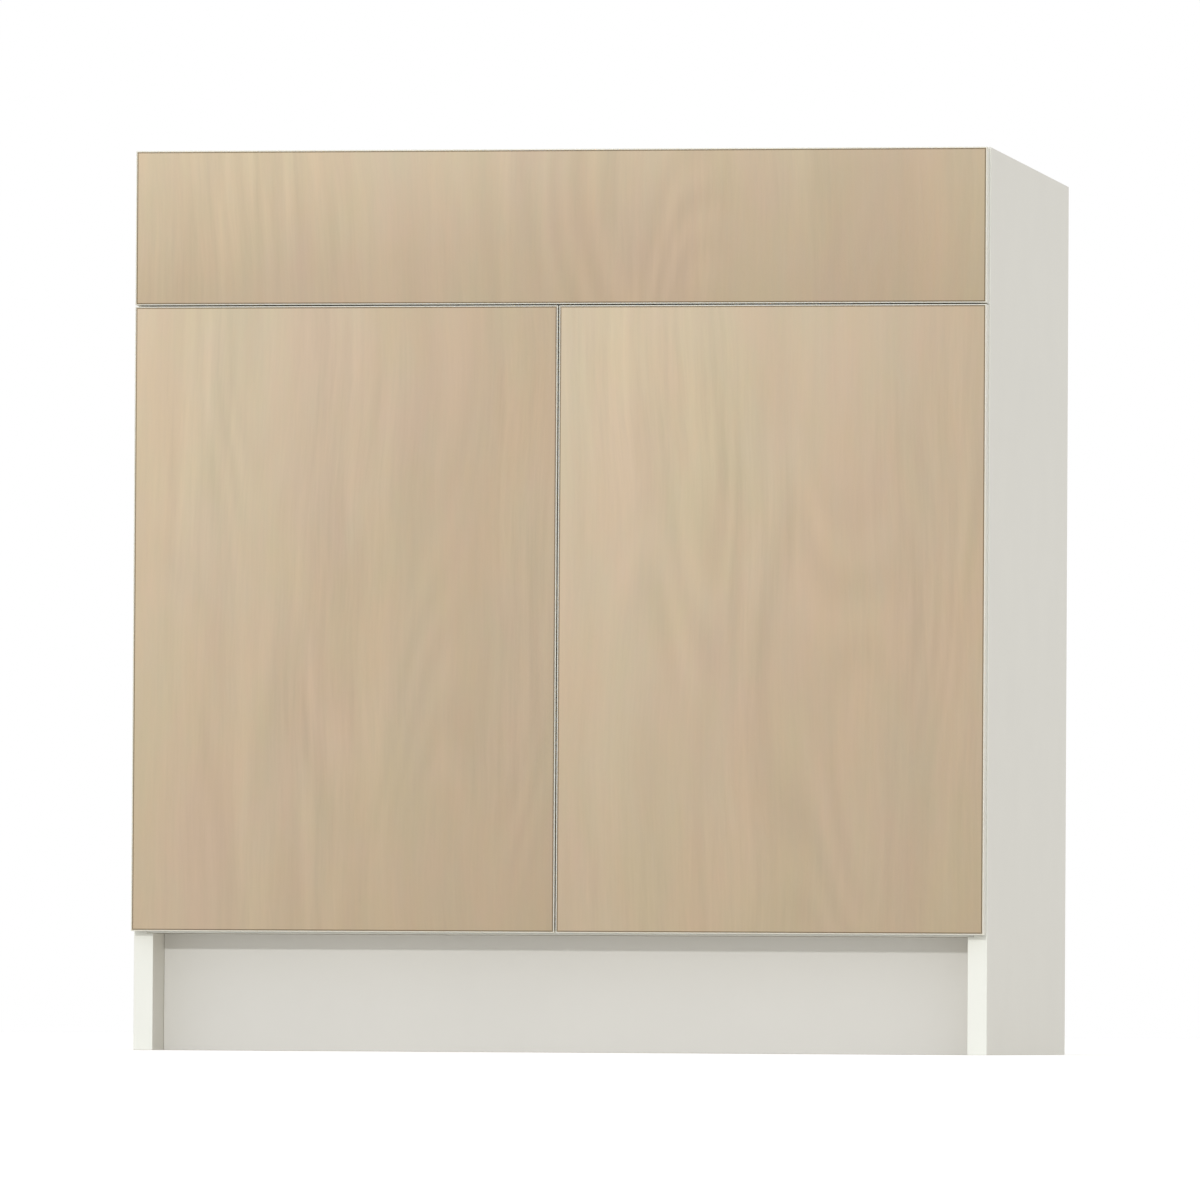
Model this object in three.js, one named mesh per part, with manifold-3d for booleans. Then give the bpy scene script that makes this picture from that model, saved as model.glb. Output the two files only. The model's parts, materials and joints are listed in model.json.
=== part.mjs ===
// A frameless sink base cabinet: two side panels that run down to the floor, a floor panel,
// a grooved-in back, front and back rails, a recessed toe kick, a fixed false front above the
// door line and two slab doors, each on two concealed hinges with folding links.
//
// Millimetres, +Z up, +Y towards the back, +X to the right as seen from the front.
// The origin is on the floor, at the centre of the cabinet's footprint.
import * as THREE from "three";
import { mergeVertices, toCreasedNormals } from "three/addons/utils/BufferGeometryUtils.js";
import Module from "manifold-3d";

const wasm = await Module();
wasm.setup();

// ---- Overall sizes -------------------------------------------------------------------------
const cabinetWidth = 838;
const cabinetHeight = 876;
const cabinetDepth = 610; // from the door faces to the back

// ---- Boards --------------------------------------------------------------------------------
const panelThickness = 19;
const frontThickness = 19;
const backThickness = 6;
const backGrooveDepth = 8;
const floorDadoDepth = 6;
const backRailThickness = 19;
const toeSpaceHeight = 114;
const toeKickSetback = 76; // from the door faces
const frontRailHeight = 64;
const backRailHeight = 96;
const glueLine = 0.1; // between two boards that meet
const groovePlay = 0.15; // on each side of a board in its groove
const overcut = 1; // how far a cut runs past the face that it opens

// ---- Fronts --------------------------------------------------------------------------------
const falseFrontHeight = 150.5;
const frontGap = 1.2; // between neighbouring fronts
const frontSideReveal = 1; // from a front's edge to the cabinet's side face
const frontTopReveal = 1;
const doorBottomReveal = 1.5; // how much of the floor panel's edge shows below the doors
const bumperGap = 2; // between the backs of the fronts and the carcass
const bumperRadius = 5;
const bumperInset = 11; // from the edges of a front to a bumper's centre
const falseFrontBumperInset = 33; // from the false front's ends

// ---- Screws --------------------------------------------------------------------------------
const screwPlay = 0.3; // round a shank in its hole, and under a head
const frontScrew = { shank: 2, length: 30, head: 4.5, headHeight: 2.6 };
const plateScrew = { shank: 2.5, length: 13, head: 4, headHeight: 2 };
const cupScrew = { shank: 1.8, length: 12, head: 3.6, headHeight: 1.8 };
const frontScrewInset = 130; // from the cabinet's side face
const tipPlay = 1; // between a screw's tip and the end of its hole

// ---- Concealed hinges ----------------------------------------------------------------------
// A hinge is drawn in its own frame: u runs inwards from the cabinet's side face, v backwards
// from the door's face and w upwards from the hinge's centre line.
const hingeEndDistance = 95; // from a door's top and bottom edges to the hinge centres
const doorAxisInset = { u: 6, v: 2.8 }; // from the door's outer front edge to its turning line
const cupInset = 4.5; // from the side panel's inner face to the cup's centre
const cupPivotOffset = 5.5; // from the cup's centre, towards the door's edge
const cupPivotDepth = 3; // below the door's back face
const armPivotInset = 5.9; // from the cup's mouth, inside it when the door is shut
const cupRadius = 17.5;
const cupDepth = 12.2;
const cupWall = 1.6;
const cupFlange = 1.1;
const cupLip = 1.2; // how far the flange covers the bore's edge
const cupWingMargin = 2; // of flange round a screw head
const cupScrewSpacing = 52;
const cupScrewOffset = 5.5; // from the cup's centre, away from the door's edge
const boreClearance = 0.3;
const armHeight = 16;
const armWall = 1.2;
const armRise = 12.1; // from the side panel's inner face to the arm's outer face
const armLength = 62; // behind the carcass's front edge
const armNoseRadius = 2.6;
const webSetback = 9; // from the carcass's front edge to the start of the arm's outer face
const earSetback = 1; // of the ears' lower front corners, behind the carcass's front edge
const earChamfer = 3;
const plateFootThickness = 2.5;
const plateFootHeight = 46;
const plateFootWidth = 15;
const plateScrewSetback = 37; // from the carcass's front edge
const plateScrewSpacing = 32;
const plateBodyStart = 11; // behind the carcass's front edge
const plateBodyLength = 46;
const runningGap = 0.4; // between hinge pieces that move past each other
const pinPlay = 0.3;
const armPin = 1.3;
const elbowPin = 1.2;
const cupPin = 1.5;
const eyeWall = 1.3; // of metal round a pin's hole
const cheekThickness = 2.8;
const cupLinkHeight = 6;
const linkHalfWidth = 2.2;

// ---- How many sides a round shape has --------------------------------------------------------
const cupSides = 32;
const eyeSides = 16;
const pinSides = 10;
const bumperSides = 12;

// ---- Places worked out from the sizes -------------------------------------------------------
const halfWidth = cabinetWidth / 2;
const innerHalf = halfWidth - panelThickness;
const doorFace = -cabinetDepth / 2;
const doorBack = doorFace + frontThickness;
const carcassFront = doorBack + bumperGap;
const carcassBack = cabinetDepth / 2;
const backRear = carcassBack - backRailThickness;
const backFront = backRear - backThickness;
const floorBottom = toeSpaceHeight;
const floorTop = floorBottom + panelThickness;
const doorBottom = floorBottom + doorBottomReveal;
const falseFrontTop = cabinetHeight - frontTopReveal;
const falseFrontBottom = falseFrontTop - falseFrontHeight;
const doorTop = falseFrontBottom - frontGap;
const seamHeight = (falseFrontBottom + doorTop) / 2;
const seamRailBottom = seamHeight - frontRailHeight / 2;
const topRailBottom = cabinetHeight - frontRailHeight;
const frontOuter = halfWidth - frontSideReveal;
const railBack = carcassFront + panelThickness;
const hingeHeights = {
  lower: doorBottom + hingeEndDistance,
  upper: doorTop - hingeEndDistance,
};
const carcassLine = frontThickness + bumperGap; // the carcass's front edge as a v
const cupCentre = panelThickness + cupInset;
const cupRim = frontThickness + glueLine + cupFlange;
const cupScrewU = cupCentre + cupScrewOffset;
const armTop = panelThickness + armRise;
const doorAxis = { u: frontSideReveal + doorAxisInset.u, v: doorAxisInset.v };
const armPivot = { u: cupCentre + cupRadius - cupWall - armPivotInset, v: carcassLine };
const cupPivot = { u: cupCentre - cupPivotOffset, v: frontThickness - cupPivotDepth };
// The two links make a parallelogram with the door axis, so they close at every angle.
const elbowPivot = {
  u: armPivot.u + cupPivot.u - doorAxis.u,
  v: armPivot.v + cupPivot.v - doorAxis.v,
};
const plateFoot = panelThickness + glueLine + plateFootThickness;
const plateScrewV = carcassLine + plateScrewSetback;
const falseFrontScrewRows = {
  upper: cabinetHeight - frontRailHeight / 2,
  lower: (falseFrontBottom + seamRailBottom + frontRailHeight) / 2,
};

// ---- Materials -----------------------------------------------------------------------------
const finish = (color, roughness, metalness = 0) =>
  new THREE.MeshStandardMaterial({ color, roughness, metalness });
const whiteBoard = finish(0xd7d4cb, 0.55);
const whiteBack = finish(0xdedbd3, 0.6);
const paleWood = finish(0xc6b298, 0.5);
const nickel = finish(0xb9b8b4, 0.3, 1);
const zincScrew = finish(0xa9a9a6, 0.4, 1);
const clearBumper = finish(0xe6e6e2, 0.35);

// ---- Solids --------------------------------------------------------------------------------

// A closed geometry as a solid that can be joined and cut.
function solid(geometry) {
  const bare = geometry.clone();
  bare.deleteAttribute("normal");
  bare.deleteAttribute("uv");
  const merged = mergeVertices(bare, 1e-4);
  return new wasm.Manifold(
    new wasm.Mesh({
      numProp: 3,
      vertProperties: merged.attributes.position.array,
      triVerts: new Uint32Array(merged.index.array),
    }),
  );
}

// A solid as a geometry with sharp edges where its faces turn.
function geometryOf(body) {
  const { vertProperties, triVerts } = body.getMesh();
  const geometry = new THREE.BufferGeometry();
  geometry.setAttribute("position", new THREE.BufferAttribute(vertProperties, 3));
  geometry.setIndex(new THREE.BufferAttribute(triVerts, 1));
  return toCreasedNormals(geometry, Math.PI / 6);
}

const cut = (body, holes) => holes.reduce((rest, hole) => rest.subtract(hole), body);
const join = (bodies) => bodies.reduce((whole, body) => whole.add(body));

// A box between two corners.
function board([x0, x1], [y0, y1], [z0, z1]) {
  const box = new THREE.BoxGeometry(x1 - x0, y1 - y0, z1 - z0);
  return solid(box.translate((x0 + x1) / 2, (y0 + y1) / 2, (z0 + z1) / 2));
}

// A round bar along an axis, from one place on it to another.
function rod(axis, radius, [from, to], [a, b], sides = pinSides) {
  const bar = new THREE.CylinderGeometry(radius, radius, to - from, sides);
  const middle = (from + to) / 2;
  if (axis === "x") return solid(bar.rotateZ(Math.PI / 2).translate(middle, a, b));
  if (axis === "y") return solid(bar.translate(a, middle, b));
  return solid(bar.rotateX(Math.PI / 2).translate(a, b, middle));
}

// An outline in the u-v plane as a plate from one height to another.
function plateAt(shape, [w0, w1]) {
  const options = { depth: w1 - w0, bevelEnabled: false, curveSegments: eyeSides / 2 };
  return solid(new THREE.ExtrudeGeometry(shape, options).translate(0, 0, w0));
}

// The outline of a strap that wraps two round ends: the outer tangents and two arcs.
function strapOutline(p, pRadius, q, qRadius) {
  const along = Math.atan2(q.v - p.v, q.u - p.u);
  const lean = Math.acos((pRadius - qRadius) / Math.hypot(q.u - p.u, q.v - p.v));
  const shape = new THREE.Shape();
  shape.absarc(p.u, p.v, pRadius, along + lean, along - lean + 2 * Math.PI, false);
  shape.absarc(q.u, q.v, qRadius, along - lean, along + lean, false);
  shape.closePath();
  return shape;
}

const named = (name, body, material) => {
  const mesh = new THREE.Mesh(geometryOf(body), material);
  mesh.name = name;
  return mesh;
};

// A pan-head screw whose shank points along +Y from the underside of its head. Its tip tapers
// over one and a half shank radii, and its head to four fifths of its radius.
function screwAlongY({ shank, length, head, headHeight }) {
  const profile = [
    [0, length],
    [shank, length - 1.5 * shank],
    [shank, 0],
    [head, 0],
    [0.8 * head, -headHeight],
    [0, -headHeight],
  ].map(([r, y]) => new THREE.Vector2(r, y));
  return new THREE.LatheGeometry(profile.reverse(), pinSides);
}

// ---- Carcass -------------------------------------------------------------------------------

// The left side panel: a groove for the back, a dado for the floor and the hinge screw holes.
function sidePanel() {
  const inner = -innerHalf;
  const slab = board([-halfWidth, inner], [carcassFront, carcassBack], [0, cabinetHeight]);
  const groove = board(
    [inner - backGrooveDepth, inner + overcut],
    [backFront - groovePlay, backRear + groovePlay],
    [floorBottom - groovePlay, cabinetHeight + overcut],
  );
  const dado = board(
    [inner - floorDadoDepth, inner + overcut],
    [carcassFront - overcut, backFront],
    [floorBottom - groovePlay, floorTop + groovePlay],
  );
  const screwHoles = Object.values(hingeHeights).flatMap((height) =>
    [-1, 1].map((up) =>
      rod(
        "x",
        plateScrew.shank + screwPlay,
        [inner - plateScrew.length, inner + overcut],
        [doorFace + plateScrewV, height + (up * plateScrewSpacing) / 2],
      ),
    ),
  );
  return cut(slab, [groove, dado, ...screwHoles]);
}

function floorPanel() {
  const reach = innerHalf + floorDadoDepth - glueLine;
  return board([-reach, reach], [carcassFront, backFront - glueLine], [floorBottom, floorTop]);
}

function backPanel() {
  const reach = innerHalf + backGrooveDepth - groovePlay;
  return board([-reach, reach], [backFront, backRear], [floorBottom, cabinetHeight]);
}

// A board that fits between the two side panels.
function crossBoard([y0, y1], [z0, z1]) {
  const reach = innerHalf - glueLine;
  return board([-reach, reach], [y0, y1], [z0, z1]);
}

const falseFrontScrewPlaces = ["left", "right"].flatMap((side) =>
  Object.entries(falseFrontScrewRows).map(([row, z]) => ({
    name: `false_front_screw_${side}_${row}`,
    x: (side === "left" ? -1 : 1) * (halfWidth - frontScrewInset),
    z,
  })),
);

// The holes for the false front's screws, through the rails and blind into its back.
function frontScrewHoles() {
  const tip = railBack + screwPlay - frontScrew.length - tipPlay;
  return falseFrontScrewPlaces.map(({ x, z }) =>
    rod("y", frontScrew.shank + screwPlay, [tip, railBack + overcut], [x, z]),
  );
}

const frontRail = (bottom) =>
  cut(
    crossBoard([carcassFront, railBack], [bottom, bottom + frontRailHeight]),
    frontScrewHoles(),
  );

function toeKickBoard() {
  const front = doorFace + toeKickSetback;
  return crossBoard([front, front + panelThickness], [0, floorBottom - glueLine]);
}

const backRailDepth = [backRear + glueLine, carcassBack];
const topBackRail = () =>
  crossBoard(backRailDepth, [cabinetHeight - backRailHeight, cabinetHeight]);
const bottomBackRail = () =>
  crossBoard(backRailDepth, [floorBottom, floorBottom + backRailHeight]);

// ---- Fronts --------------------------------------------------------------------------------

function falseFront() {
  const slab = board(
    [-frontOuter, frontOuter],
    [doorFace, doorBack],
    [falseFrontBottom, falseFrontTop],
  );
  return cut(slab, frontScrewHoles());
}

// The left door, with a bore and two screw holes for each hinge cup.
function door() {
  const slab = board(
    [-frontOuter, -frontGap / 2],
    [doorFace, doorBack],
    [doorBottom, doorTop],
  );
  const holes = Object.values(hingeHeights).flatMap((height) => {
    const cupFloor = doorBack - cupDepth - boreClearance;
    const screwFloor = doorBack - cupScrew.length;
    const bore = rod(
      "y",
      cupRadius + boreClearance,
      [cupFloor, doorBack + overcut],
      [cupCentre - halfWidth, height],
      cupSides,
    );
    const pilots = [-1, 1].map((up) =>
      rod(
        "y",
        cupScrew.shank + screwPlay,
        [screwFloor, doorBack + overcut],
        [cupScrewU - halfWidth, height + (up * cupScrewSpacing) / 2],
      ),
    );
    return [bore, ...pilots];
  });
  return cut(slab, holes);
}

// A stick-on bumper: a low dome on the back of a front, against the carcass.
function bumper(x, z) {
  const height = bumperGap - 2 * glueLine;
  const profile = [
    [0, 0],
    [bumperRadius, 0],
    [bumperRadius, 0.4 * height],
    [0.7 * bumperRadius, height],
    [0, height],
  ].map(([r, y]) => new THREE.Vector2(r, y));
  const dome = new THREE.LatheGeometry(profile, bumperSides);
  return solid(dome.translate(x, doorBack + glueLine, z));
}

// ---- Hinge pieces, in the hinge's own u, v, w ------------------------------------------------

const armInner = armHeight / 2 - armWall;
const cheekOuter = armInner - runningGap;
const cheekInner = cheekOuter - cheekThickness;

// The cup that sits in the door's bore, with its screwed flange and the pin of the cup link.
function hingeCup() {
  const flangeRadius = cupRadius + cupLip;
  const wing = cupScrew.head + cupWingMargin;
  const height = [frontThickness + glueLine, cupRim];
  const flange = join([
    rod("y", flangeRadius, height, [cupCentre, 0], cupSides),
    board(
      [cupScrewU - wing, cupScrewU + wing],
      height,
      [-cupScrewSpacing / 2, cupScrewSpacing / 2],
    ),
    ...[-1, 1].map((up) =>
      rod("y", wing, height, [cupScrewU, (up * cupScrewSpacing) / 2], eyeSides),
    ),
  ]);
  const bottom = frontThickness - cupDepth;
  const cup = rod("y", cupRadius, [bottom, cupRim], [cupCentre, 0], cupSides);
  const hollowRadius = cupRadius - cupWall;
  const hollow = rod("y", hollowRadius, [bottom + cupWall, cupRim + overcut], [cupCentre, 0], cupSides);
  const screwHoles = [-1, 1].map((up) =>
    rod(
      "y",
      cupScrew.shank + screwPlay,
      [height[0] - overcut, height[1] + overcut],
      [cupScrewU, (up * cupScrewSpacing) / 2],
    ),
  );
  const offset = cupCentre - cupPivot.u;
  const pinReach = Math.sqrt((cupRadius - cupWall / 2) ** 2 - offset ** 2);
  const pin = rod("z", cupPin, [-pinReach, pinReach], [cupPivot.u, cupPivot.v]);
  return cut(flange.add(cup), [hollow, ...screwHoles]).add(pin);
}

// The arm: a channel over the mounting plate whose two ears carry the elbow link's stub pins.
function hingeArm() {
  const rear = carcassLine + armLength;
  const foot = plateFoot + runningGap;
  const webFront = carcassLine + webSetback;
  const ear = new THREE.Shape();
  ear.moveTo(foot, rear);
  ear.lineTo(foot, carcassLine + earSetback + earChamfer);
  ear.lineTo(foot + earChamfer, carcassLine + earSetback);
  ear.absarc(armPivot.u, armPivot.v, armNoseRadius, -0.6 * Math.PI, 0.2 * Math.PI, false);
  ear.lineTo(armTop, webFront);
  ear.lineTo(armTop, rear);
  ear.closePath();
  const outer = armHeight / 2;
  const ears = [plateAt(ear, [-outer, -armInner]), plateAt(ear, [armInner, outer])];
  const web = board([armTop - armWall, armTop], [webFront, rear], [-outer, outer]);
  const stubEnd = cheekInner + runningGap;
  const stubRoot = armInner + armWall / 2;
  const stubs = [[-stubRoot, -stubEnd], [stubEnd, stubRoot]].map((span) =>
    rod("z", armPin, span, [armPivot.u, armPivot.v]),
  );
  return join([...ears, web, ...stubs]);
}

// The mounting plate: a screwed foot on the side panel and a raised body inside the arm.
function hingePlate() {
  const foot = [panelThickness + glueLine, plateFoot];
  const half = plateFootWidth / 2;
  const bodyFront = carcassLine + plateBodyStart;
  const bodyHalf = armInner - runningGap;
  const reach = plateFootHeight / 2 - half;
  const base = join([
    board(foot, [plateScrewV - half, plateScrewV + half], [-reach, reach]),
    ...[-1, 1].map((up) => rod("x", half, foot, [plateScrewV, up * reach], eyeSides)),
  ]);
  const body = board(
    [foot[0], armTop - armWall - runningGap],
    [bodyFront, bodyFront + plateBodyLength],
    [-bodyHalf, bodyHalf],
  );
  const holes = [-1, 1].map((up) =>
    rod(
      "x",
      plateScrew.shank + screwPlay,
      [foot[0] - overcut, foot[1] + overcut],
      [plateScrewV, (up * plateScrewSpacing) / 2],
    ),
  );
  return cut(base.add(body), holes);
}

// The elbow link: two cheeks that turn on the arm's stub pins, joined by the elbow pin.
function elbowLink() {
  const armEye = armPin + pinPlay + eyeWall;
  const elbowEye = elbowPin + eyeWall;
  const outline = strapOutline(armPivot, armEye, elbowPivot, elbowEye);
  const cheeks = [
    plateAt(outline, [-cheekOuter, -cheekInner]),
    plateAt(outline, [cheekInner, cheekOuter]),
  ];
  const through = [-cheekOuter - overcut, cheekOuter + overcut];
  const bore = rod("z", armPin + pinPlay, through, [armPivot.u, armPivot.v]);
  const middle = (cheekInner + cheekOuter) / 2;
  const pin = rod("z", elbowPin, [-middle, middle], [elbowPivot.u, elbowPivot.v]);
  return cut(join(cheeks), [bore]).add(pin);
}

// The cup link: a bar with an eye on the cup's pin and an eye on the elbow pin.
function cupLink() {
  const half = [-cupLinkHeight / 2, cupLinkHeight / 2];
  const cupEye = cupPin + pinPlay + eyeWall;
  const elbowEye = elbowPin + pinPlay + eyeWall;
  const body = join([
    plateAt(strapOutline(cupPivot, linkHalfWidth, elbowPivot, linkHalfWidth), half),
    rod("z", cupEye, half, [cupPivot.u, cupPivot.v], eyeSides),
    rod("z", elbowEye, half, [elbowPivot.u, elbowPivot.v], eyeSides),
  ]);
  const through = [half[0] - overcut, half[1] + overcut];
  return cut(body, [
    rod("z", cupPin + pinPlay, through, [cupPivot.u, cupPivot.v]),
    rod("z", elbowPin + pinPlay, through, [elbowPivot.u, elbowPivot.v]),
  ]);
}

// A screw turned and placed in the hinge's frame: into the door, or into the side panel.
function hingeScrew(screw, into, [u, v, w]) {
  const geometry = screwAlongY(screw);
  geometry.rotateZ(into === "door" ? Math.PI : Math.PI / 2);
  return solid(geometry.translate(u, v, w));
}

// All the pieces of one hinge, in a group that stands at the hinge's centre line.
function hinge(side, level) {
  const group = new THREE.Group();
  group.position.set(-halfWidth, doorFace, hingeHeights[level]);
  const tag = `${side}_${level}`;
  group.add(
    named(`hinge_cup_${tag}`, hingeCup(), nickel),
    named(`hinge_arm_${tag}`, hingeArm(), nickel),
    named(`hinge_plate_${tag}`, hingePlate(), nickel),
    named(`hinge_elbow_link_${tag}`, elbowLink(), nickel),
    named(`hinge_cup_link_${tag}`, cupLink(), nickel),
  );
  for (const [end, up] of [["bottom", -1], ["top", 1]]) {
    const cupPlace = [cupScrewU, cupRim + screwPlay, (up * cupScrewSpacing) / 2];
    const platePlace = [plateFoot + screwPlay, plateScrewV, (up * plateScrewSpacing) / 2];
    group.add(
      named(`cup_screw_${tag}_${end}`, hingeScrew(cupScrew, "door", cupPlace), zincScrew),
      named(`plate_screw_${tag}_${end}`, hingeScrew(plateScrew, "panel", platePlace), zincScrew),
    );
  }
  return group;
}

// ---- Assembly ------------------------------------------------------------------------------

// Everything that the left and right halves have alike; the right half is mirrored.
function half(side) {
  const group = new THREE.Group();
  group.scale.x = side === "left" ? 1 : -1;
  const latchX = -frontGap / 2 - bumperInset;
  const cornerX = -frontOuter + falseFrontBumperInset;
  group.add(
    named(`side_panel_${side}`, sidePanel(), whiteBoard),
    named(`door_${side}`, door(), paleWood),
    named(`door_bumper_${side}_upper`, bumper(latchX, doorTop - bumperInset), clearBumper),
    named(
      `door_bumper_${side}_lower`,
      bumper(latchX, doorBottom + bumperInset),
      clearBumper,
    ),
    named(
      `false_front_bumper_${side}_upper`,
      bumper(cornerX, falseFrontTop - bumperInset),
      clearBumper,
    ),
    named(
      `false_front_bumper_${side}_lower`,
      bumper(cornerX, falseFrontBottom + bumperInset),
      clearBumper,
    ),
    hinge(side, "lower"),
    hinge(side, "upper"),
  );
  return group;
}

function falseFrontScrews() {
  return falseFrontScrewPlaces.map(({ name, x, z }) => {
    const geometry = screwAlongY(frontScrew).rotateZ(Math.PI);
    return named(name, solid(geometry.translate(x, railBack + screwPlay, z)), zincScrew);
  });
}

const cabinet = new THREE.Group();
cabinet.add(
  half("left"),
  half("right"),
  named("floor_panel", floorPanel(), whiteBoard),
  named("back_panel", backPanel(), whiteBack),
  named("top_front_rail", frontRail(topRailBottom), whiteBoard),
  named("seam_rail", frontRail(seamRailBottom), whiteBoard),
  named("top_back_rail", topBackRail(), whiteBoard),
  named("bottom_back_rail", bottomBackRail(), whiteBoard),
  named("toe_kick_board", toeKickBoard(), whiteBoard),
  named("false_front", falseFront(), paleWood),
  ...falseFrontScrews(),
);

export default cabinet;
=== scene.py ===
"""A frameless sink base cabinet: pale wood fronts on a white carcass, with concealed hinges.

Every board, hinge piece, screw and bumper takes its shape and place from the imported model. The
classes below ease its edges, cut its finer details and give it its finish.
"""

import json
import logging
import math
from collections.abc import Callable, Iterable
from dataclasses import dataclass, field
from enum import Enum

import bmesh
import bpy
from bpy.types import Material, Mesh, NodeSocket, NodeTree, Object, ShaderNode
from mathutils import Matrix, Vector

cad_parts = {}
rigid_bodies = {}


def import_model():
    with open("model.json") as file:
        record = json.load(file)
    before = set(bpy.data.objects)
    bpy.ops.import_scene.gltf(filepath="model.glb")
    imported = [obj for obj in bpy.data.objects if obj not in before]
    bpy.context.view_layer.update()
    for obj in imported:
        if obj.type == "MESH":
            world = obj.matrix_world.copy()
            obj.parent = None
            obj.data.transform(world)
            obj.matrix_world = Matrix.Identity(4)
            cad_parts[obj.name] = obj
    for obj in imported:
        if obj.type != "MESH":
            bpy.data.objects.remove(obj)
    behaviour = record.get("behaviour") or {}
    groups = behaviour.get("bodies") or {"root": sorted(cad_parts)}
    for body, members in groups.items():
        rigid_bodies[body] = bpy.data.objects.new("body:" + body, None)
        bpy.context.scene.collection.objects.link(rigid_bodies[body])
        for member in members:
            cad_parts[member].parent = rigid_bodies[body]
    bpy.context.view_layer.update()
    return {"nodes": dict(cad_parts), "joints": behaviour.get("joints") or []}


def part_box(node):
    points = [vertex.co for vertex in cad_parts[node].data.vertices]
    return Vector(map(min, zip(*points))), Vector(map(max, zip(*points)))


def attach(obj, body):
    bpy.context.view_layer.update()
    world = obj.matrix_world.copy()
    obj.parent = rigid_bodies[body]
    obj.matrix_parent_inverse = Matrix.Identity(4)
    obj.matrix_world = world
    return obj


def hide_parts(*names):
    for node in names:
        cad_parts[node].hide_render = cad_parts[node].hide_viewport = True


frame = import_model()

log = logging.getLogger("sink_base")

MM = 0.001
Colour = tuple[float, float, float, float]
Triple = tuple[float, float, float]


# ---- Names ---------------------------------------------------------------------------------------


class Side(Enum):
    """Which half of the cabinet a piece belongs to."""

    LEFT = "left"
    RIGHT = "right"

    @property
    def outward(self) -> float:
        """-1 on the left half and 1 on the right half."""
        return -1.0 if self is Side.LEFT else 1.0

    @property
    def door_body(self) -> str:
        """The body that turns with this side's door."""
        return f"{self.value}_door"


class Level(Enum):
    """Which hinge of a door, or which end of a front."""

    LOWER = "lower"
    UPPER = "upper"


class Slot(Enum):
    """The record's material slots."""

    WOOD = "wood_front"
    WHITE = "white_board"
    BACK = "back_board"
    NICKEL = "hinge_nickel"
    ZINC = "zinc_screw"
    BUMPER = "clear_bumper"


class Axis(Enum):
    """The direction of a board's thickness or of a screw."""

    X = 0
    Y = 1
    Z = 2


# ---- Colours and node trees ----------------------------------------------------------------------


def srgb(red: float, green: float, blue: float) -> Colour:
    """Turns a colour as seen on screen into the linear one that a shader takes.

    Args:
        red: From 0 to 255.
        green: From 0 to 255.
        blue: From 0 to 255.

    Returns:
        The linear red, green, blue and an alpha of 1.
    """

    def one(value: float) -> float:
        """One channel as a linear share."""
        share = value / 255
        return share / 12.92 if share <= 0.04045 else ((share + 0.055) / 1.055) ** 2.4

    return (one(red), one(green), one(blue), 1.0)


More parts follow.
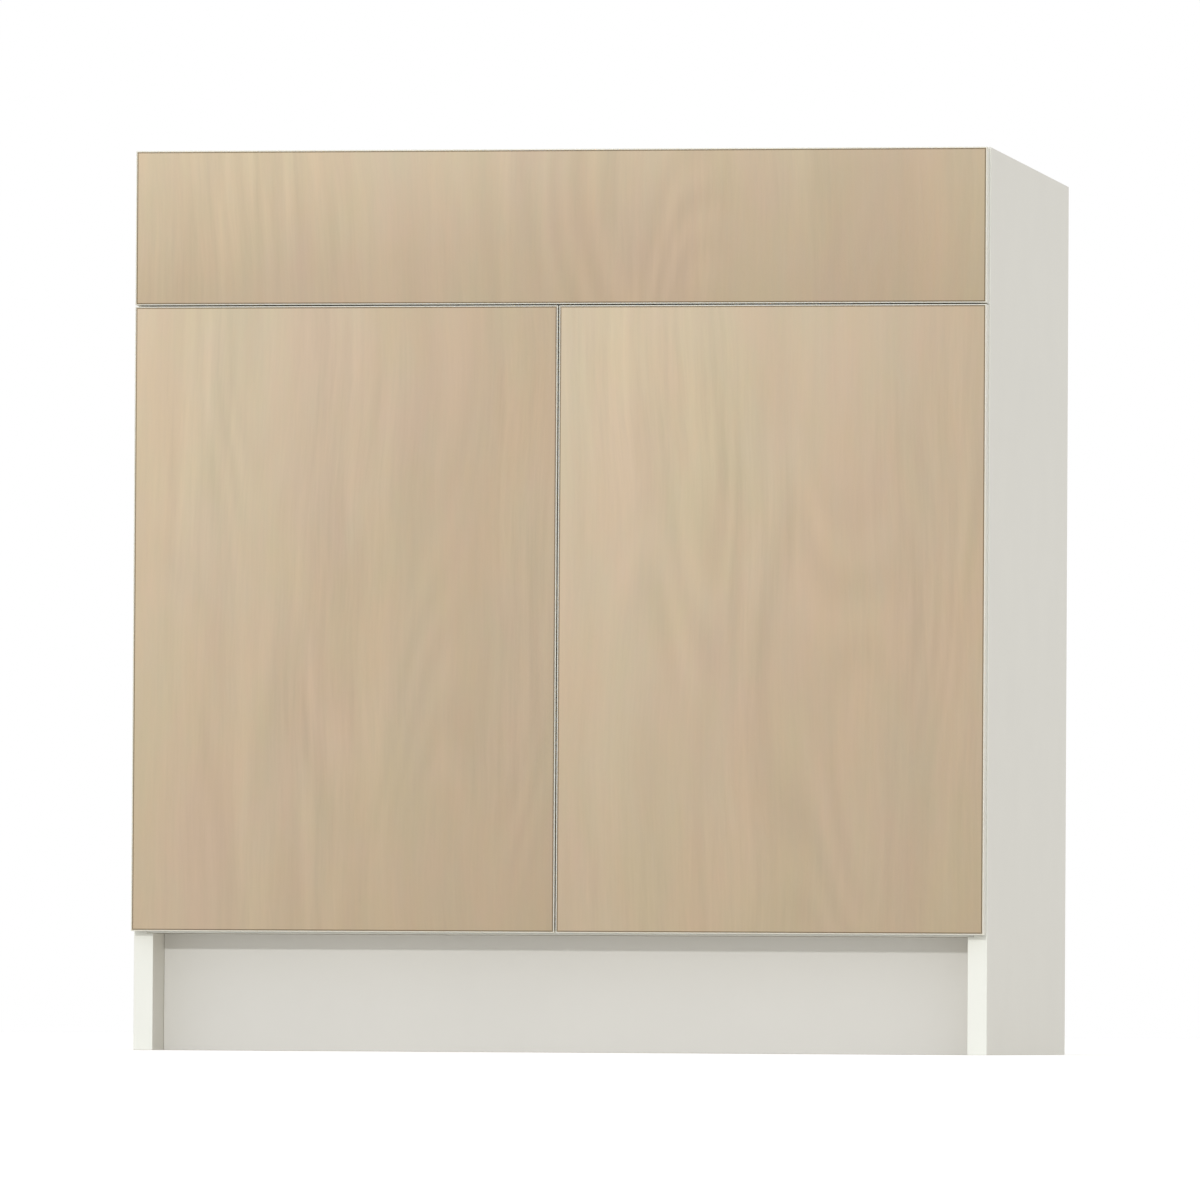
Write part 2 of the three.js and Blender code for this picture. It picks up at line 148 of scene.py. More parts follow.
class Tree:
    """A shader tree with a short call for each kind of node that the finishes use."""

    def __init__(self, tree: NodeTree) -> None:
        """Takes over a tree and keeps what is in it."""
        self.tree = tree

    def node(self, kind: str, inputs: dict | None = None, **settings) -> ShaderNode:
        """Adds a node.

        Args:
            kind: The node's type without its ShaderNode prefix.
            inputs: A value or a socket to link, by input name or number.
            **settings: The node's own properties.

        Returns:
            The new node.
        """
        made = self.tree.nodes.new("ShaderNode" + kind)
        for key, value in settings.items():
            setattr(made, key, value)
        for key, value in (inputs or {}).items():
            self.feed(made.inputs[key], value)
        return made

    def feed(self, socket: NodeSocket, value: object) -> None:
        """Links a socket to an input, or sets the input's value.

        Args:
            socket: The input.
            value: The socket to link, or the value to set.
        """
        if isinstance(value, NodeSocket):
            self.tree.links.new(value, socket)
        else:
            socket.default_value = value

    def maths(self, operation: str, a: object, b: object = 0.0, clamp: bool = False) -> NodeSocket:
        """The result of a sum on two values."""
        inputs = {0: a} if operation in ("SINE", "ABSOLUTE") else {0: a, 1: b}
        return self.node("Math", inputs, operation=operation, use_clamp=clamp).outputs[0]

    def plus(self, total: object, part: NodeSocket, share: float) -> NodeSocket:
        """A total and a share of a part."""
        return self.node("Math", {0: part, 1: share, 2: total}, operation="MULTIPLY_ADD").outputs[0]

    def scaled(self, vector: NodeSocket, factors: Triple) -> NodeSocket:
        """A vector times a factor on each axis."""
        return self.node("VectorMath", {0: vector, 1: factors}, operation="MULTIPLY").outputs[0]

    def shifted(self, vector: NodeSocket, step: object) -> NodeSocket:
        """A vector moved by a step."""
        return self.node("VectorMath", {0: vector, 1: step}, operation="ADD").outputs[0]

    def noise(
        self, vector: NodeSocket, factors: Triple, detail: float = 2.0, rough: float = 0.5
    ) -> NodeSocket:
        """Smooth noise with its own scale on each axis.

        Args:
            vector: Where to read it.
            factors: How many cells a metre holds along each axis.
            detail: How many finer layers are added.
            rough: How strong each finer layer is.

        Returns:
            A value from 0 to 1, mostly near a half.
        """
        place = self.scaled(vector, factors)
        inputs = {"Vector": place, "Scale": 1.0, "Detail": detail, "Roughness": rough}
        return self.node("TexNoise", inputs).outputs[0]

    def between(
        self, value: NodeSocket, low: float, high: float, to_low: float, to_high: float
    ) -> NodeSocket:
        """Maps a value from one range to another and clamps it there."""
        inputs = {0: value, 1: low, 2: high, 3: to_low, 4: to_high}
        return self.node("MapRange", inputs, clamp=True).outputs[0]

    def mixed(self, share: object, a: object, b: object, blend: str = "MIX") -> NodeSocket:
        """Mixes two colours.

        Args:
            share: How much of the second colour shows, from 0 to 1.
            a: The first colour.
            b: The second colour.
            blend: How the second colour is laid over the first.

        Returns:
            The mixed colour.
        """
        made = self.node("Mix", data_type="RGBA", blend_type=blend)
        self.feed(made.inputs[0], share)
        self.feed(made.inputs[6], a)
        self.feed(made.inputs[7], b)
        return made.outputs[2]

    def ramp(self, value: NodeSocket, stops: Iterable[tuple[float, Colour]]) -> NodeSocket:
        """Turns a value into a colour along a row of stops.

        Args:
            value: The value.
            stops: The place and the colour of each stop, in rising order.

        Returns:
            The colour.
        """
        made = self.node("ValToRGB", {0: value})
        elements = made.color_ramp.elements
        for number, (place, colour) in enumerate(stops):
            element = elements[number] if number < 2 else elements.new(place)
            element.position = place
            element.color = colour
        return made.outputs[0]

    def grey(self, value: NodeSocket) -> NodeSocket:
        """A value as a grey colour, to multiply another by."""
        return self.node("CombineColor", {0: value, 1: value, 2: value}).outputs[0]

    def bump(self, height: NodeSocket, distance: float, strength: float = 1.0) -> NodeSocket:
        """A normal that leans with a height.

        Args:
            height: The height as a share of distance.
            distance: How far the surface rises, in metres.
            strength: How much of the lean is kept.

        Returns:
            The leaning normal.
        """
        inputs = {"Height": height, "Distance": distance, "Strength": strength}
        return self.node("Bump", inputs).outputs[0]

    def group(self, tree: NodeTree, inputs: dict) -> dict[str, NodeSocket]:
        """Places a shared effect.

        Args:
            tree: The effect's node group.
            inputs: Its inputs, by name.

        Returns:
            Its outputs, by name.
        """
        made = self.tree.nodes.new("ShaderNodeGroup")
        made.node_tree = tree
        for key, value in inputs.items():
            self.feed(made.inputs[key], value)
        return {socket.name: socket for socket in made.outputs}


def new_material(name: str) -> tuple[Material, Tree, ShaderNode]:
    """Starts a material.

    Args:
        name: The finish in plain words.

    Returns:
        The material, its tree, and its Principled BSDF.
    """
    made = bpy.data.materials.new(name)
    made.use_nodes = True
    tree = Tree(made.node_tree)
    return made, tree, made.node_tree.nodes["Principled BSDF"]


# ---- Shared effects ------------------------------------------------------------------------------


class Effects:
    """The shader groups that more than one finish uses, each built on its first use."""

    def __init__(self) -> None:
        """Starts with no group built."""
        self.built: dict[str, NodeTree] = {}

    def get(self, name: str, inputs: dict[str, str], outputs: dict[str, str], wire: Callable) -> NodeTree:
        """Builds a group or gives the one built before.

        Args:
            name: The group's name.
            inputs: The kind of each input socket, by name.
            outputs: The kind of each output socket, by name.
            wire: Takes the tree and the input sockets and gives the output sockets.

        Returns:
            The node group.
        """
        if name in self.built:
            return self.built[name]
        made = bpy.data.node_groups.new(name, "ShaderNodeTree")
        for label, kind in inputs.items():
            made.interface.new_socket(label, in_out="INPUT", socket_type="NodeSocket" + kind)
        for label, kind in outputs.items():
            made.interface.new_socket(label, in_out="OUTPUT", socket_type="NodeSocket" + kind)
        tree = Tree(made)
        entry = made.nodes.new("NodeGroupInput")
        leave = made.nodes.new("NodeGroupOutput")
        results = wire(tree, {socket.name: socket for socket in entry.outputs if socket.name})
        for label, socket in results.items():
            tree.feed(leave.inputs[label], socket)
        self.built[name] = made
        return made

    def grain(self) -> NodeTree:
        """Upright wood grain: broad bands, streaks in clusters, fine pores and arched figure.

        Returns:
            The node group.
        """

        def wire(tree: Tree, given: dict[str, NodeSocket]) -> dict[str, NodeSocket]:
            """Wires the group.

            Args:
                tree: The group's tree.
                given: The group's input sockets, by name.

            Returns:
                The group's output sockets, by name.
            """
            seed = given["Seed"]
            step = {0: tree.maths("MULTIPLY", seed, 1.7), 1: seed, 2: tree.maths("MULTIPLY", seed, 2.9)}
            place = tree.shifted(given["Vector"], tree.node("CombineXYZ", step).outputs[0])
            lean = tree.maths("SUBTRACT", tree.noise(place, (2.6, 2.6, 1.9), 2.0), 0.5)
            sway = tree.node("CombineXYZ", {0: tree.maths("MULTIPLY", lean, 0.06)}).outputs[0]
            swayed = tree.shifted(place, sway)
            broad = tree.noise(swayed, (24.0, 24.0, 1.4), 2.0)
            streak = tree.noise(swayed, (100.0, 100.0, 6.0), 3.0, 0.66)
            pores = tree.noise(swayed, (370.0, 370.0, 22.0), 2.0, 0.6)
            cluster = tree.between(tree.noise(place, (10.0, 10.0, 3.0), 1.0), 0.42, 0.6, 0.3, 1.0)
            contour = tree.noise(swayed, (7.0, 7.0, 1.5), 1.0)
            rings = tree.maths("SINE", tree.maths("MULTIPLY", contour, 90.0))
            where = tree.between(tree.noise(place, (5.2, 5.2, 2.4), 1.0), 0.46, 0.6, 0.0, 1.0)
            warmth = tree.noise(swayed, (10.0, 10.0, 3.4), 4.0, 0.75)
            cast = tree.noise(place, (9.0, 9.0, 4.0), 4.0, 0.75)
            return {
                "Broad": tree.between(broad, 0.3, 0.7, -1.0, 1.0),
                "Streak": tree.maths("MULTIPLY", tree.between(streak, 0.3, 0.7, -1.0, 1.0), cluster),
                "Pores": tree.between(pores, 0.25, 0.75, -1.0, 1.0),
                "Figure": tree.maths("MULTIPLY", rings, where),
                "Warmth": tree.between(warmth, 0.39, 0.61, 0.0, 1.0),
                "Cast": tree.between(cast, 0.38, 0.62, 0.0, 1.0),
            }

        outputs = dict.fromkeys(("Broad", "Streak", "Pores", "Figure", "Warmth", "Cast"), "Float")
        return self.get("upright_grain", {"Vector": "Vector", "Seed": "Float"}, outputs, wire)

    def pebble(self) -> NodeTree:
        """The pebbled press texture of laminated board, with faint cloudiness.

        Returns:
            The node group.
        """

        def wire(tree: Tree, given: dict[str, NodeSocket]) -> dict[str, NodeSocket]:
            """Wires the group.

            Args:
                tree: The group's tree.
                given: The group's input sockets, by name.

            Returns:
                The group's output sockets, by name.
            """
            place = given["Vector"]
            grit = tree.noise(place, (620.0, 620.0, 620.0), 3.0, 0.6)
            cloud = tree.noise(place, (7.0, 7.0, 7.0), 3.0, 0.55)
            return {
                "Height": tree.between(grit, 0.3, 0.7, 0.0, 1.0),
                "Cloud": tree.between(cloud, 0.3, 0.7, -1.0, 1.0),
            }

        return self.get("pressed_pebble", {"Vector": "Vector"}, {"Height": "Float", "Cloud": "Float"}, wire)

    def chips(self) -> NodeTree:
        """The sawn face of chipboard: flat chips in several browns with dark pits.

        Returns:
            The node group.
        """

        def wire(tree: Tree, given: dict[str, NodeSocket]) -> dict[str, NodeSocket]:
            """Wires the group.

            Args:
                tree: The group's tree.
                given: The group's input sockets, by name.

            Returns:
                The group's output sockets, by name.
            """
            place = given["Vector"]
            inputs = {"Vector": tree.scaled(place, (260.0, 260.0, 420.0)), "Scale": 1.0, "Randomness": 1.0}
            cells = tree.node("TexVoronoi", inputs)
            shade = tree.node("SeparateColor", {0: cells.outputs["Color"]}).outputs[0]
            dust = tree.noise(place, (900.0, 900.0, 900.0), 2.0, 0.6)
            tone = tree.maths("ADD", tree.maths("MULTIPLY", shade, 0.7), tree.maths("MULTIPLY", dust, 0.3))
            pits = tree.between(tree.noise(place, (340.0, 340.0, 340.0), 2.0), 0.3, 0.4, 1.0, 0.0)
            return {"Tone": tone, "Pits": pits}

        return self.get("sawn_chips", {"Vector": "Vector"}, {"Tone": "Float", "Pits": "Float"}, wire)

    def rubbed(self) -> NodeTree:
        """The marks on plated steel: fine rub lines and clouded spots.

        Returns:
            The node group.
        """

        def wire(tree: Tree, given: dict[str, NodeSocket]) -> dict[str, NodeSocket]:
            """Wires the group.

            Args:
                tree: The group's tree.
                given: The group's input sockets, by name.

            Returns:
                The group's output sockets, by name.
            """
            place = given["Vector"]
            lines = tree.noise(place, (240.0, 90.0, 1500.0), 3.0, 0.6)
            spots = tree.noise(place, (130.0, 130.0, 130.0), 3.0, 0.55)
            return {
                "Lines": tree.between(lines, 0.3, 0.7, 0.0, 1.0),
                "Spots": tree.between(spots, 0.35, 0.65, 0.0, 1.0),
            }

        return self.get("rubbed_plate", {"Vector": "Vector"}, {"Lines": "Float", "Spots": "Float"}, wire)


EFFECTS = Effects()


# ---- Finishes ------------------------------------------------------------------------------------


@dataclass(frozen=True)
class FrontWood:
    """The wood face of one front: upright grain over a painted shade that darkens it from its top left corner
    to its bottom right corner.

    Attributes:
        name: The material's name.
        low: The front's lowest corner, in metres.
        high: The front's highest corner, in metres.
        seed: What sets this front's grain apart from the others'.
        depth: 1 on the face, less in the line beside the edge band, whose darker wood is a dark joint line
            and painted shade in that groove.
    """

    name: str
    low: Triple
    high: Triple
    seed: float
    depth: float = 1.0
    # Painted light and shade: the front is lightest at its top left corner and darkest at its bottom right,
    # with the middle tone between them.
    light: Colour = srgb(209, 191, 161)
    middle: Colour = srgb(191, 170, 141)
    dark: Colour = srgb(180, 159, 129)
    roughness: float = 0.46

    def build(self) -> Material:
        """Makes the material.

        Returns:
            The material.
        """
        made, tree, shader = new_material(self.name)
        place = tree.node("TexCoord").outputs["Object"]
        grain = tree.group(EFFECTS.grain(), {"Vector": place, "Seed": self.seed})
        # Painted shade: the tone darkens from the front's top left corner to its bottom right corner.
        axes = tree.node("SeparateXYZ", {0: place})
        across = tree.between(axes.outputs[0], self.low[0], self.high[0], 0.0, 0.5)
        down = tree.between(axes.outputs[2], self.low[2], self.high[2], 0.5, 0.0)
        painted_shade_fall = tree.maths("ADD", across, down)
        base = tree.ramp(painted_shade_fall, [(0.0, self.light), (1.0, self.dark), (0.5, self.middle)])
        tone = self.depth
        for part, share in (("Broad", 0.03), ("Streak", 0.055), ("Pores", 0.022), ("Figure", -0.028)):
            tone = tree.plus(tone, grain[part], share * self.depth)
        toned = tree.mixed(1.0, base, tree.grey(tone), "MULTIPLY")
        warmth = tree.mixed(grain["Warmth"], (0.978, 1.011, 1.0, 1.0), (1.024, 0.988, 1.0, 1.0))
        cast = tree.mixed(grain["Cast"], (1.0, 1.0, 0.97, 1.0), (1.0, 1.0, 1.028, 1.0))
        tinted = tree.mixed(1.0, warmth, cast, "MULTIPLY")
        tree.feed(shader.inputs["Base Color"], tree.mixed(1.0, toned, tinted, "MULTIPLY"))
        gloss = tree.between(grain["Pores"], -1.0, 1.0, self.roughness - 0.05, self.roughness + 0.07)
        tree.feed(shader.inputs["Roughness"], gloss)
        tree.feed(shader.inputs["Normal"], tree.bump(grain["Pores"], 0.03 * MM, 0.5))
        return made


@dataclass(frozen=True)
class PlainBoard:
    """A pressed laminate or an edge band.

    Attributes:
        name: The material's name.
        colour: Its colour.
        roughness: Its mean roughness.
        press: How deep the pebble is, in millimetres.
        glow: How much of the light passes through it.
    """

    name: str
    colour: Colour
    roughness: float = 0.5
    press: float = 0.02
    glow: float = 0.0

    def build(self) -> Material:
        """Makes the material.

        Returns:
            The material.
        """
        made, tree, shader = new_material(self.name)
        place = tree.node("TexCoord").outputs["Object"]
        pebble = tree.group(EFFECTS.pebble(), {"Vector": place})
        shade = tree.between(pebble["Cloud"], -1.0, 1.0, 0.985, 1.01)
        tree.feed(shader.inputs["Base Color"], tree.mixed(1.0, self.colour, tree.grey(shade), "MULTIPLY"))
        gloss = tree.between(pebble["Height"], 0.0, 1.0, self.roughness - 0.06, self.roughness + 0.06)
        tree.feed(shader.inputs["Roughness"], gloss)
        tree.feed(shader.inputs["Normal"], tree.bump(pebble["Height"], self.press * MM, 0.6))
        shader.inputs["Subsurface Weight"].default_value = self.glow
        shader.inputs["Subsurface Radius"].default_value = (1.0, 0.95, 0.85)
        shader.inputs["Subsurface Scale"].default_value = 5 * MM
        return made


@dataclass(frozen=True)
class SawnBoard:
    """An unbanded edge, a bore or the rough side of a thin board.

    Attributes:
        name: The material's name.
        pale: The lightest chips.
        deep: The darkest chips.
        relief: How deep the pits are, in millimetres.
    """

    name: str
    pale: Colour
    deep: Colour
    relief: float = 0.25

    def build(self) -> Material:
        """Makes the material.

        Returns:
            The material.
        """
        made, tree, shader = new_material(self.name)
        place = tree.node("TexCoord").outputs["Object"]
        chips = tree.group(EFFECTS.chips(), {"Vector": place})
        wood = tree.mixed(chips["Tone"], self.deep, self.pale)
        pitted = tree.mixed(tree.maths("MULTIPLY", chips["Pits"], 0.55), wood, srgb(92, 70, 48))
        tree.feed(shader.inputs["Base Color"], pitted)
        shader.inputs["Roughness"].default_value = 0.85
        height = tree.maths("SUBTRACT", chips["Tone"], chips["Pits"])
        tree.feed(shader.inputs["Normal"], tree.bump(height, self.relief * MM, 0.6))
        return made


@dataclass(frozen=True)
class PlatedSteel:
    """Nickel or zinc plate on steel.

    Attributes:
        name: The material's name.
        colour: The plate's colour.
        tarnish: Its colour in the clouded spots.
        roughness: Its least roughness.
    """

    name: str
    colour: Colour
    tarnish: Colour
    roughness: float

    def build(self) -> Material:
        """Makes the material.

        Returns:
            The material.
        """
        made, tree, shader = new_material(self.name)
        place = tree.node("TexCoord").outputs["Object"]
        marks = tree.group(EFFECTS.rubbed(), {"Vector": place})
        tree.feed(shader.inputs["Base Color"], tree.mixed(marks["Spots"], self.colour, self.tarnish))
        shader.inputs["Metallic"].default_value = 1.0
        gloss = tree.between(marks["Lines"], 0.0, 1.0, self.roughness, self.roughness + 0.08)
        tree.feed(shader.inputs["Roughness"], gloss)
        tree.feed(shader.inputs["Normal"], tree.bump(marks["Lines"], 0.004 * MM, 0.4))
        return made


@dataclass(frozen=True)
class ClearBumper:
    """Soft translucent plastic."""

    name: str = "clear_bumper_plastic"

    def build(self) -> Material:
        """Makes the material.

        Returns:
            The material.
        """
        made, tree, shader = new_material(self.name)
        place = tree.node("TexCoord").outputs["Object"]
        cloud = tree.between(tree.noise(place, (500.0, 500.0, 500.0), 2.0), 0.3, 0.7, 0.0, 1.0)
        tree.feed(shader.inputs["Base Color"], tree.mixed(cloud, srgb(226, 227, 222), srgb(240, 240, 236)))
        tree.feed(shader.inputs["Roughness"], tree.between(cloud, 0.0, 1.0, 0.18, 0.3))
        shader.inputs["Transmission Weight"].default_value = 0.45
        shader.inputs["IOR"].default_value = 1.48
        return made


class Palette:
    """The finishes that pieces share, each made once."""

    def __init__(self) -> None:
        """Makes every shared finish."""
        self.laminate = PlainBoard("white_laminate", srgb(229, 226, 216)).build()
        # The toe kick's laminate is a slightly darker, bluer copy of the white laminate: painted shade for
        # its recess under the fronts.
        self.kick_laminate = PlainBoard("toe_kick_laminate", srgb(226, 224, 218)).build()
        self.band = PlainBoard("white_edge_band", srgb(242, 243, 235), 0.42, 0.01).build()
        self.pale_band = PlainBoard("pale_front_band", srgb(221, 217, 203), 0.42, 0.01, 1.0).build()
        self.thin_white = PlainBoard("thin_white_face", srgb(232, 232, 225), 0.55).build()
        self.chipboard = SawnBoard("sawn_chipboard", srgb(205, 178, 138), srgb(150, 120, 84)).build()
        self.fibreboard = SawnBoard("rough_fibreboard", srgb(176, 148, 112), srgb(156, 128, 94), 0.08).build()
        nickel = srgb(206, 203, 196)
        self.nickel = PlatedSteel("nickel_plate", nickel, srgb(199, 196, 189), 0.24).build()
        self.link_steel = PlatedSteel("link_steel", srgb(188, 187, 184), srgb(178, 176, 172), 0.28).build()
        self.zinc = PlatedSteel("bright_zinc", srgb(196, 199, 203), srgb(184, 187, 190), 0.25).build()
        # The cross recesses take a much darker steel than the zinc heads: painted shade in the hollows.
        self.recess = PlatedSteel("recess_shade", srgb(120, 121, 122), srgb(96, 96, 96), 0.4).build()
        self.bumper = ClearBumper().build()


# ---- Shaping -------------------------------------------------------------------------------------


SMOOTH_ANGLE = math.radians(34)
FLAT_ANGLE = math.radians(0.5)
WELD = 0.002 * MM


def finished(name: str, mesh: Mesh, materials: Iterable[Material]) -> Object:
    """Puts a mesh in the scene as a piece with soft shading between its sharp edges.

    Args:
        name: The piece's name.
        mesh: Its mesh, in place.
        materials: What its faces' material numbers stand for.

    Returns:
        The new object.
    """
    numbers = [polygon.material_index for polygon in mesh.polygons]
    mesh.materials.clear()
    for material in materials:
        mesh.materials.append(material)
    mesh.polygons.foreach_set("material_index", numbers)
    mesh.polygons.foreach_set("use_smooth", [True] * len(mesh.polygons))
    mesh.set_sharp_from_angle(angle=SMOOTH_ANGLE)
    made = bpy.data.objects.new(name, mesh)
    bpy.context.scene.collection.objects.link(made)
    evened = made.modifiers.new("even_shading", "WEIGHTED_NORMAL")
    evened.keep_sharp = True
    return made


def to_mesh(shape: bmesh.types.BMesh, name: str) -> Mesh:
    """Ends a shape as a mesh and frees it.

    Args:
        shape: The shape, freed afterwards.
        name: The mesh's name.

    Returns:
        The mesh.
    """
    mesh = bpy.data.meshes.new(name)
    shape.to_mesh(mesh)
    shape.free()
    return mesh


def settle(piece: Object, body: str, slot: Slot, *nodes: str) -> Object:
    """Rides a piece on its body, and hides and logs the CAD nodes that it stands for.

    Args:
        piece: The finished piece.
        body: The body that carries it.
        slot: The record's slot for its finish; not used.
        *nodes: The CAD nodes that it replaces.

    Returns:
        The same piece.
    """
    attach(piece, body)
    if nodes:
        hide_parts(*nodes)
    log.info("%s rides on %s and replaces %s", piece.name, body, ", ".join(nodes) or "nothing")
    return piece


def node_shape(node: str) -> bmesh.types.BMesh:
    """A CAD node's mesh as whole flat faces.

    Args:
        node: The node's name.

    Returns:
        A shape with its doubled points merged and its flat triangles joined.
    """
    shape = bmesh.new()
    shape.from_mesh(frame["nodes"][node].data)
    bmesh.ops.remove_doubles(shape, verts=shape.verts, dist=WELD)
    bmesh.ops.dissolve_limit(
        shape,
        angle_limit=FLAT_ANGLE,
        verts=shape.verts,
        edges=shape.edges,
        use_dissolve_boundaries=False,
    )
    return shape


def ease(shape: bmesh.types.BMesh, width: float, segments: int = 2, least: float = 40.0) -> None:
    """Rounds a shape's edges.

    Args:
        shape: The shape, changed in place.
        width: How far back from the edge the rounding starts, in metres.
        segments: How many faces it has.
        least: The least angle between two faces that counts as an edge, in degrees.
    """
    turn = math.radians(least)
    edges = [edge for edge in shape.edges if len(edge.link_faces) == 2 and edge.calc_face_angle() > turn]
    bmesh.ops.bevel(
        shape,
        geom=edges,
        offset=width,
        offset_type="OFFSET",
        segments=segments,
        profile=0.5,
        affect="EDGES",
        clamp_overlap=True,
    )


def lathe(profile: list[tuple[float, float]], sides: int) -> bmesh.types.BMesh:
    """A closed solid turned about Z.

    Args:
        profile: Radius and height of each point, from the axis at one end to the axis at the other.
        sides: How many sides the turned form has.

    Returns:
        The shape.
    """
    shape = bmesh.new()
    rings = []
    for radius, height in profile:
        if radius == 0:
            rings.append([shape.verts.new((0, 0, height))])
            continue
        turns = [2 * math.pi * step / sides for step in range(sides)]
        rings.append([shape.verts.new((radius * math.cos(t), radius * math.sin(t), height)) for t in turns])
    for lower, upper in zip(rings, rings[1:]):
        for step in range(sides):
            after = (step + 1) % sides
            corners = [lower[step % len(lower)], lower[after % len(lower)]]
            corners += [upper[after % len(upper)], upper[step % len(upper)]]
            shape.faces.new(list(dict.fromkeys(corners)))
    bmesh.ops.recalc_face_normals(shape, faces=shape.faces)
    return shape


def block(low: Triple, high: Triple) -> bmesh.types.BMesh:
    """A box between two corners.

    Args:
        low: Its lowest corner.
        high: Its highest corner.

    Returns:
        The shape.
    """
    shape = bmesh.new()
    bmesh.ops.create_cube(shape, size=1.0)
    middle = [(a + b) / 2 for a, b in zip(low, high)]
    spans = [b - a for a, b in zip(low, high)]
    place = Matrix.Translation(middle) @ Matrix.Diagonal((*spans, 1.0))
    bmesh.ops.transform(shape, matrix=place, verts=shape.verts)
    return shape


def combined(base: Mesh, tools: Iterable[tuple[str, Mesh]]) -> Mesh:
    """Joins meshes to a mesh or cuts them out of it.

    Args:
        base: The mesh to start from.
        tools: UNION or DIFFERENCE, and the mesh to do it with. A tool keeps its materials.

    Returns:
        The resulting mesh.
    """
    scene = bpy.context.scene.collection.objects
    target = bpy.data.objects.new("combined_base", base)
    scene.link(target)
    helpers = []
    for operation, mesh in tools:
        helper = bpy.data.objects.new("combined_tool", mesh)
        scene.link(helper)
        helpers.append(helper)
        modifier = target.modifiers.new("combine", "BOOLEAN")
        modifier.operation = operation
        modifier.object = helper
        modifier.solver = "MANIFOLD"
    graph = bpy.context.evaluated_depsgraph_get()
    result = bpy.data.meshes.new_from_object(target.evaluated_get(graph))
    for used in [target, *helpers]:
        bpy.data.objects.remove(used)
    return result


def aligned(axis: Vector, origin: Triple) -> Matrix:
    """A placement that turns Z to an axis and moves the origin."""
    return Matrix.Translation(origin) @ axis.to_track_quat("Z", "Y").to_matrix().to_4x4()


# ---- Boards of the carcass -----------------------------------------------------------------------


LAMINATE, EDGED, SAWN = range(3)  # what a board's material numbers stand for


@dataclass(frozen=True)
class BoardCut:
    """How a carcass board is faced.

    Attributes:
        node: The board's node.
        thickness: The axis across its two laminated faces.
        banded: The directions whose edges carry a band, as axis and sign.
    """

    node: str
    thickness: Axis
    banded: tuple[tuple[Axis, int], ...] = ()


@dataclass
class Carcass:
    """The white box: side panels, floor, back, rails and toe kick.

    Attributes:
        palette: The shared finishes.
        arris: How far the boards' edges are eased, in metres.
        boards: Every board and how it is faced.
    """

    palette: Palette
    arris: float = 0.45 * MM
    boards: tuple[BoardCut, ...] = (
        BoardCut("side_panel_left", Axis.X, ((Axis.Y, -1),)),
        BoardCut("side_panel_right", Axis.X, ((Axis.Y, -1),)),
        BoardCut("floor_panel", Axis.Z, ((Axis.Y, -1),)),
        BoardCut("top_front_rail", Axis.Y, ((Axis.Z, -1),)),
        BoardCut("seam_rail", Axis.Y, ((Axis.Z, -1), (Axis.Z, 1))),
        BoardCut("top_back_rail", Axis.Y),
        BoardCut("bottom_back_rail", Axis.Y),
        BoardCut("toe_kick_board", Axis.Y),
    )

    def build(self) -> None:
        """Builds every board and the back."""
        for board in self.boards:
            self.dress(board)
        self.dress_back()

    def dress(self, board: BoardCut) -> None:
        """Eases one board and faces it with laminate, bands and sawn edges.

        Args:
            board: The board and how it is faced.
        """
        shape = node_shape(board.node)
        ease(shape, self.arris)
        for face in shape.faces:
            face.material_index = self.facing(board, face.normal)
        mesh = to_mesh(shape, board.node + "_board")
        # The recessed toe kick takes the darker copy of the laminate, which is painted shade.
        kick = board.node == "toe_kick_board"
        laminate = self.palette.kick_laminate if kick else self.palette.laminate
        faces = [laminate, self.palette.band, self.palette.chipboard]
        settle(finished(board.node + "_board", mesh, faces), "carcass", Slot.WHITE, board.node)

    @staticmethod
    def facing(board: BoardCut, normal: Vector) -> int:
        """Which finish a face of a board takes.

        Args:
            board: The board and how it is faced.
            normal: The direction that the face looks in.

        Returns:
            LAMINATE, EDGED or SAWN.
        """
        along = max(range(3), key=lambda axis: abs(normal[axis]))
        if along == board.thickness.value:
            return LAMINATE
        sign = 1 if normal[along] > 0 else -1
        return EDGED if (Axis(along), sign) in board.banded else SAWN

    def dress_back(self) -> None:
        """Eases the thin back: white inside, rough fibreboard behind and at its edges."""
        shape = node_shape("back_panel")
        ease(shape, 0.2 * MM)
        for face in shape.faces:
            face.material_index = 0 if face.normal.y < -0.7 else 1
        mesh = to_mesh(shape, "back_panel_board")
        piece = finished("back_panel_board", mesh, [self.palette.thin_white, self.palette.fibreboard])
        settle(piece, "carcass", Slot.BACK, "back_panel")


# ---- Fronts --------------------------------------------------------------------------------------


WOOD, LINE, BAND, CORE = range(4)  # what a front's material numbers stand for


